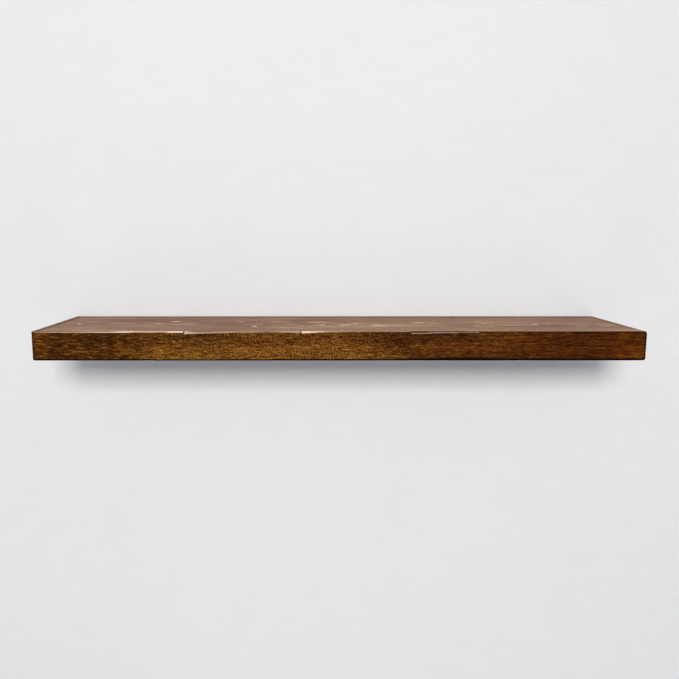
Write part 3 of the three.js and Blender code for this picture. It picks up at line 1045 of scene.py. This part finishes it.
def write_attribute(name, values):
    attribute = plank.data.attributes.new(name, "FLOAT", "POINT")
    attribute.data.foreach_set("value", np.clip(values, 0, 1).astype(np.float32))
    print(name, int((values > 0.05).sum()), "points")


coordinates = np.zeros(len(plank.data.vertices) * 3)
plank.data.vertices.foreach_get("co", coordinates)
at_x, at_y, at_z = coordinates.reshape(-1, 3).T
inward, below, above = at_y - board_low.y, board_high.z - at_z, at_z - board_low.z
write_attribute("bare_and_highlight", bare_and_highlight_places(at_x, inward, below))
write_attribute("painted_shade", painted_shade_places(at_x, inward, below, above))
dress(plank, "shelf_board", stained)

# %% [markdown]
# The bracket hides in the plank: a flat steel bar on the wall and four rods that stand out of it, all
# under one coat of black powder. The powder melts into a faint orange peel, and the rods carry bright
# scuffs along them, where the plank has been slid on and off. The screws and bolts are zinc plated,
# the plugs are moulded nylon, and the two threaded inserts in the plank are turned from brass.

# %% Finishes of the hardware
def powder_coat():
    coat = Recipe("black powder coat", Specular_IOR_Level=0.45)
    _, y, _ = coat.places()
    peel = coat.noise((700.0, 700.0, 700.0))
    dust = coat.noise((60.0, 60.0, 60.0), detail=4.0, rough=0.7)
    scuff = coat.noise((1500.0, 14.0, 1500.0), rough=0.6)
    rubbed = coat.step(y, -8, -14) * coat.step(scuff + dust * 0.3, 0.12, 0.22)
    at_tip = coat.step(y + dust * 3, rod_tip + 2.2, rod_tip + 0.6)
    bared = coat.calc("MAXIMUM", rubbed * 0.55, at_tip * 0.7)
    black = coat.mix(0.5 + dust, (0.016, 0.016, 0.018), (0.030, 0.030, 0.032))
    return coat.finish(
        Base_Color=coat.mix(bared, black, (0.30, 0.295, 0.29)),
        Metallic=bared * 0.8,
        Roughness=0.46 + dust * 0.25 - bared * 0.12,
        Normal=coat.bump(peel - bared * 0.6, 0.05),
    )


def metal(name, colour, tint, roughness):
    """A bright metal with a cloudy tint and fine wear."""
    bright = Recipe(name, Metallic=1.0)
    cloud = bright.noise((180.0, 180.0, 180.0), detail=4.0, rough=0.6)
    wear = bright.noise((2200.0, 2200.0, 2200.0))
    return bright.finish(
        Base_Color=bright.mix(0.5 + cloud * 1.4, colour, tint),
        Roughness=roughness + cloud * 0.22 + wear * 0.10,
        Normal=bright.bump(wear, 0.01),
    )


def moulded_nylon():
    nylon = Recipe("grey nylon", Specular_IOR_Level=0.4)
    cloud = nylon.noise((90.0, 90.0, 90.0), detail=3.0)
    grain = nylon.noise((2500.0, 2500.0, 2500.0))
    return nylon.finish(
        Base_Color=nylon.mix(0.5 + cloud * 1.2, (0.135, 0.140, 0.150), (0.190, 0.195, 0.205)),
        Roughness=0.48 + grain * 0.2,
        Normal=nylon.bump(grain, 0.02),
    )


coated = powder_coat()
zinc = metal("bright zinc plate", (0.58, 0.60, 0.63), (0.68, 0.67, 0.64), 0.30)
brass = metal("turned brass", (0.72, 0.49, 0.20), (0.62, 0.39, 0.15), 0.28)
nylon = moulded_nylon()

# %% [markdown]
# Threads are what tells a screw from a pin. A thread is a small ridge that winds round its core, so a
# Geometry Nodes tool makes it the same way: a spiral curve, drawn in where the screw has a point, with
# a diamond swept along it that grows at the start and fades at the end. One tool serves coarse wood
# threads, fine machine threads and the thread inside an insert, by its named inputs.
#
# A second tool sets copies of its piece in a ring, which gives a wall plug its two legs.

# %% Geometry tools
class Tool(Tree):
    """A Geometry Nodes tree under construction, with named inputs and a material at its end."""

    def __init__(self, name, **inputs):
        super().__init__(bpy.data.node_groups.new(name, "GeometryNodeTree"))
        face = self.tree.interface
        for socket, kind in {"Geometry": "Geometry", **inputs, "Material": "Material"}.items():
            face.new_socket(socket.replace("_", " "), in_out="INPUT", socket_type="NodeSocket" + kind)
        face.new_socket("Geometry", in_out="OUTPUT", socket_type="NodeSocketGeometry")
        self.given = self.node("NodeGroupInput").outputs

    def finish(self, geometry):
        realized = self.signal("GeometryNodeRealizeInstances", {"Geometry": geometry})
        inputs = {"Geometry": realized, "Material": self.given["Material"]}
        self.node("NodeGroupOutput", {"Geometry": self.signal("GeometryNodeSetMaterial", inputs)})
        print("tool", self.tree.name, len(self.tree.nodes), "nodes")
        return self

    def use(self, piece, **inputs):
        """Runs the tool on a piece and keeps the result as its plain mesh."""
        modifier = piece.modifiers.new(self.tree.name, "NODES")
        modifier.node_group = self.tree
        sockets = [item for item in self.tree.interface.items_tree if item.in_out == "INPUT"]
        identifiers = {item.name: item.identifier for item in sockets}
        for socket, value in inputs.items():
            modifier[identifiers[socket.replace("_", " ")]] = value
        return settled(piece)


# %% Thread and ring
THREAD_STEPS = 28
FADE_TURNS = 0.7
TIP_SHARE = 0.12


def thread_tool():
    lengths = ("Pitch", "Turns", "Core", "Crest", "Start", "Taper_Start", "Taper_End")
    tool = Tool("thread", **dict.fromkeys(lengths, "Float"))
    pitch, turns, core, crest, start, taper_start, taper_end = (
        Signal(tool, tool.given[length.replace("_", " ")]) for length in lengths)
    spiral = tool.signal("GeometryNodeCurveSpiral", {
        "Resolution": THREAD_STEPS, "Rotations": turns, "Start Radius": core, "End Radius": core,
        "Height": pitch * turns, "Reverse": True,
    })
    x, y, z = tool.parts(tool.signal("GeometryNodeInputPosition"))
    height = z + start
    slimmer = tool.signal("ShaderNodeMapRange", {
        "Value": height, "From Min": taper_start, "From Max": taper_end, "To Min": 1.0,
        "To Max": TIP_SHARE,
    })
    place = tool.signal("ShaderNodeCombineXYZ", {0: x * slimmer, 1: y * slimmer, 2: height})
    path = tool.signal("GeometryNodeSetPosition", {"Geometry": spiral, "Position": place})
    path = tool.signal("GeometryNodeSetCurveNormal", {"Curve": path}, mode="Z_UP")
    turn = tool.signal("GeometryNodeSplineParameter", output="Factor") * turns
    grows = tool.calc("DIVIDE", turn, FADE_TURNS, clamp=True)
    fades = tool.calc("DIVIDE", turns - turn, FADE_TURNS, clamp=True)
    diamond = tool.signal("GeometryNodeCurvePrimitiveCircle", {"Resolution": 4, "Radius": 1.0})
    depth = (crest - core) * grows * fades
    ridge = tool.signal("GeometryNodeCurveToMesh", {
        "Curve": path, "Profile Curve": diamond, "Scale": depth, "Fill Caps": True,
    })
    joined = tool.node("GeometryNodeJoinGeometry")
    for part in (tool.given["Geometry"], ridge):
        tool.feed(joined.inputs[0], part)
    return tool.finish(joined.outputs[0])


def ring_tool():
    tool = Tool("set round", Count="Int")
    count = tool.given["Count"]
    points = tool.signal("GeometryNodePoints", {"Count": count})
    share = tool.signal("GeometryNodeInputIndex") / count
    turn = tool.signal("ShaderNodeCombineXYZ", {2: share * math.tau})
    inputs = {"Points": points, "Instance": tool.given["Geometry"], "Rotation": turn}
    return tool.finish(tool.signal("GeometryNodeInstanceOnPoints", inputs))


thread = thread_tool()
set_round = ring_tool()

# %% [markdown]
# The bench sizes below are the shapes' own, where the frame's boxes do not give them: a box knows how
# long and wide a screw is, but not its core or its pitch. The bar is a prism with eased edges and
# countersunk holes from both sides. The rods are turned, with a bored seat for their bolts.

# %% Bar
EASED_BAR, EASED_STEPS = 0.4, 3
SHARP = math.radians(35)
HEAD_PLAY = 0.3
LAND = 0.4
SHANK = 3.0
screw_names = [f"wall_screw_{i}" for i in range(1, 7)]
bolt_names = [f"rod_bolt_{i}" for i in range(1, 5)]
plug_names = [f"wall_plug_{i}" for i in range(1, 7)]
lock_names = ["lock_screw_left", "lock_screw_right"]


def countersinks(nodes, face_y, direction):
    """The holes for the countersunk screws whose heads lie in one face of the bar."""
    head, shank = turned_size(nodes[0], direction)[0] + HEAD_PLAY, SHANK + HEAD_PLAY
    land = LAND + abs(start_of(nodes[0], direction).y - face_y)
    end = bar_thickness + OVERRUN
    profile = [
        (0, -OVERRUN), (head, -OVERRUN), (head, land), (shank, land + head - shank), (shank, end), (0, end),
    ]
    return holes(nodes, profile, direction, y=face_y)


outline = rounded_rectangle(bar_length, bar_height, BAR_CORNER)
bar = piece_from("wall_bar", prism(outline, 0, bar_thickness, matrix=placing(Vector(), INTO_ROOM)))
ease = bar.modifiers.new("ease", "BEVEL")
ease.width, ease.segments = EASED_BAR, EASED_STEPS
ease.limit_method, ease.angle_limit = "ANGLE", SHARP
settled(bar)
cut(bar, countersinks(screw_names, -bar_thickness, INTO_WALL))
cut(bar, countersinks(bolt_names, 0, INTO_ROOM))
dress(bar, "back_bar", coated)
print("bar", len(bar.data.polygons), "faces")

# %% Rods
SEAT_HOLE, SEAT_DEPTH, SEAT_CHAMFER = 3.3, 18, 0.4
FOOT_CHAMFER = 0.2
TIP_CHAMFER = 1.5

rod_profile = [
    (0, SEAT_DEPTH + SEAT_HOLE * DRILL_POINT), (SEAT_HOLE, SEAT_DEPTH),
    (SEAT_HOLE, SEAT_CHAMFER), (SEAT_HOLE + SEAT_CHAMFER, 0),
    (rod_radius - FOOT_CHAMFER, 0), (rod_radius, FOOT_CHAMFER),
    (rod_radius, rod_length - TIP_CHAMFER), (rod_radius - 0.25, rod_length - TIP_CHAMFER + 0.15),
    (rod_radius - TIP_CHAMFER + 0.15, rod_length - 0.2), (rod_radius - TIP_CHAMFER - 0.1, rod_length),
    (0, rod_length),
]
lay_out(bench("rod", rod_profile), "steel_rod", rod_names, INTO_ROOM, coated)

# %% [markdown]
# Screws, bolts and grub screws: each is a lathe form with a recess sawn in and the thread wound on.
# The wall screws take a cross-head driver, the bolts and grub screws a hexagon key. Each kind is
# made once on the bench and copied into every place that the frame gives it.

# %% Recesses, heads and threads
CORE_FINE, PITCH_FINE = 2.52, 1.0
RIM = 0.12
CROSS_FOOT = 0.35
NO_TAPER = (1000.0, 2000.0)


def hexagon_form(flats, depth):
    """A hexagon recess of a given width across its flats."""
    angles = [math.tau * i / 6 for i in range(6)]
    corner = flats / 2 / math.cos(math.pi / 6)
    outline = [(corner * math.cos(a), corner * math.sin(a)) for a in angles]
    return prism(outline, -OVERRUN, depth)


def cross_form(reach, width, depth):
    """A cross recess, which narrows downward."""
    half = width / 2
    outline, arm = [], [(reach, -half), (reach, half), (half, half)]
    for _ in range(4):
        outline += arm
        arm = [(-y, x) for x, y in arm]
    return prism(outline, -OVERRUN, depth, high_share=CROSS_FOOT)


def head_profile(head, neck):
    """The pairs of a countersunk head, from the middle of its flat top down its cone."""
    return [(0, 0), (head - RIM, 0), (head, RIM), (head, LAND), (neck, LAND + head - neck)]


def wound(piece, pitch, start, end, core, crest, material, taper=NO_TAPER):
    """Winds a thread on a bench piece from start to end, drawn in between two heights."""
    turns = round((end - start) / pitch, 4)
    return thread.use(piece, Pitch=pitch, Turns=turns, Core=core, Crest=crest, Start=start,
                      Taper_Start=taper[0], Taper_End=taper[1], Material=material)


# %% Screws, bolts and grub screws
CORE_COARSE, PITCH_COARSE = 2.05, 2.9
BLANK_SHANK, BLANK_LENGTH = 2.45, 17
POINT_LENGTH = 9
END_CHAMFER = 0.5


def socket_bolt():
    head, length = turned_size(bolt_names[0], INTO_ROOM)
    profile = head_profile(head, CORE_FINE) + [
        (CORE_FINE, length - END_CHAMFER), (CORE_FINE - END_CHAMFER, length), (0, length),
    ]
    piece = cut(bench("bolt", profile), hexagon_form(flats=4, depth=2.4))
    start = LAND + head - CORE_FINE + 1.2
    return wound(piece, PITCH_FINE, start, length - 0.3, CORE_FINE, SHANK, zinc)


def cross_screw():
    head, length = turned_size(screw_names[0], INTO_WALL)
    tip = length - POINT_LENGTH
    profile = head_profile(head, BLANK_SHANK) + [
        (BLANK_SHANK, BLANK_LENGTH), (CORE_COARSE, BLANK_LENGTH + 0.8), (CORE_COARSE, tip),
        (CORE_COARSE * TIP_SHARE, length - 0.15), (0, length),
    ]
    piece = cut(bench("screw", profile), cross_form(reach=3.8, width=1.6, depth=2.9))
    start = BLANK_LENGTH + 0.5
    return wound(piece, PITCH_COARSE, start, length - 0.8, CORE_COARSE, SHANK, zinc, (tip, length))


def grub_screw():
    length = turned_size(lock_names[0], UP)[1]
    profile = [
        (0, 0), (CORE_FINE - 0.25, 0), (CORE_FINE, 0.25), (CORE_FINE, length - END_CHAMFER),
        (CORE_FINE - END_CHAMFER, length), (1.5, length), (0, length - 0.8),
    ]
    piece = cut(bench("grub", profile), hexagon_form(flats=3, depth=3.5))
    return wound(piece, PITCH_FINE, 0.45, length - 0.45, CORE_FINE, SHANK, zinc)


lay_out(socket_bolt(), "socket_bolt", bolt_names, INTO_ROOM, zinc)
lay_out(cross_screw(), "cross_screw", screw_names, INTO_WALL, zinc)
lay_out(grub_screw(), "grub_screw", lock_names, UP, zinc)

# %% [markdown]
# A nylon plug has a plain collar and two legs with barbs. The barbs slope back towards the collar, so
# the plug goes in easily and not out, and the slot lets the screw spread the legs. A leg is a lathe
# form that stops short of the slot on both sides, so it is made of arcs whose ends keep their
# distance from the slot's middle plane.

# %% Wall plugs
PLUG_BORE, PLUG_ROOT = 3.3, 4.4
PLUG_COLLAR, PLUG_NOSE = 8, 5
PLUG_BARBS, BARB_CREST = 5, 0.7
MOUTH_CHAMFER = 0.3
HALF_SLOT = 0.7
LEG_STEPS = 24


def leg(outside, inside):
    """A half sleeve between an outer and an inner row of (radius, height) pairs, open at the slot."""
    form = bmesh.new()

    def arc(radius, height):
        reach = math.acos(HALF_SLOT / radius)
        angles = [reach * (2 * i / LEG_STEPS - 1) for i in range(LEG_STEPS + 1)]
        return [form.verts.new((radius * math.cos(a), radius * math.sin(a), height)) for a in angles]

    arcs = [arc(*pair) for pair in outside + inside[::-1]]
    for lower, upper in zip(arcs, arcs[1:] + arcs[:1]):
        for i in range(LEG_STEPS):
            form.faces.new((lower[i], lower[i + 1], upper[i + 1], upper[i]))
    for side in (0, -1):
        for k in range(len(outside) - 1):
            ring = (arcs[k], arcs[k + 1], arcs[-2 - k], arcs[-1 - k])
            form.faces.new([row[side] for row in ring])
    return form


def nylon_plug():
    crest, length = turned_size(plug_names[0], INTO_WALL)
    nose = (PLUG_ROOT + PLUG_BORE) / 2
    barb = (length - PLUG_COLLAR - PLUG_NOSE) / PLUG_BARBS
    outside = []
    for i in range(PLUG_BARBS):
        foot = PLUG_COLLAR + i * barb
        top = foot + BARB_CREST * barb
        outside += [(PLUG_ROOT, foot), (crest - RIM, top - RIM), (crest - RIM, top + RIM)]
    outside += [(PLUG_ROOT, length - PLUG_NOSE), (nose + RIM, length - RIM), (nose - RIM, length)]
    inside = [(PLUG_BORE, height) for radius, height in outside]
    legs = set_round.use(piece_from("bench legs", leg(outside, inside)), Count=2, Material=nylon)
    collar = [
        (PLUG_BORE, MOUTH_CHAMFER), (PLUG_BORE + MOUTH_CHAMFER, 0), (crest - RIM, 0), (crest, RIM),
        (crest, PLUG_COLLAR - 0.6), (PLUG_ROOT, PLUG_COLLAR), (PLUG_BORE, PLUG_COLLAR),
    ]
    form = turned(collar)
    form.from_mesh(legs.data)
    bpy.data.objects.remove(legs)
    return piece_from("bench plug", form)


lay_out(nylon_plug(), "nylon_plug", plug_names, INTO_WALL, nylon)

# %% [markdown]
# The brass inserts are lathe forms with a coarse thread outside, which bites into the wood, and a
# fine one inside for the grub screw. The inner thread has its core at the bore and its crest inside
# the brass, so the ridge stands on both sides of the wall and only its inner half shows.

# %% Threaded inserts
INSERT_CORE, INSERT_PITCH = 4.0, 2.0
INNER_RIDGE = 0.24


def threaded_insert():
    bore, flange, rim = INSERT_BORE, INSERT_FLANGE, insert_flange_radius
    profile = [
        (bore, MOUTH_CHAMFER), (bore + MOUTH_CHAMFER, 0), (rim - RIM, 0), (rim, RIM),
        (rim, flange - RIM), (rim - RIM, flange), (INSERT_CORE, flange), (INSERT_CORE, insert_length - 0.6),
        (INSERT_CORE - 0.3, insert_length), (bore, insert_length),
    ]
    piece = bench("insert", profile)
    wound(piece, INSERT_PITCH, flange + 0.6, insert_length - 0.3, INSERT_CORE, insert_body_radius, brass)
    return wound(piece, PITCH_FINE, 0.6, insert_length - 0.4, bore, bore + INNER_RIDGE, brass)


lay_out(threaded_insert(), "threaded_insert", insert_names, UP, brass)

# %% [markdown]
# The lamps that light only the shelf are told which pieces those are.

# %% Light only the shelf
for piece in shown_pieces():
    shelf_only.objects.link(piece)
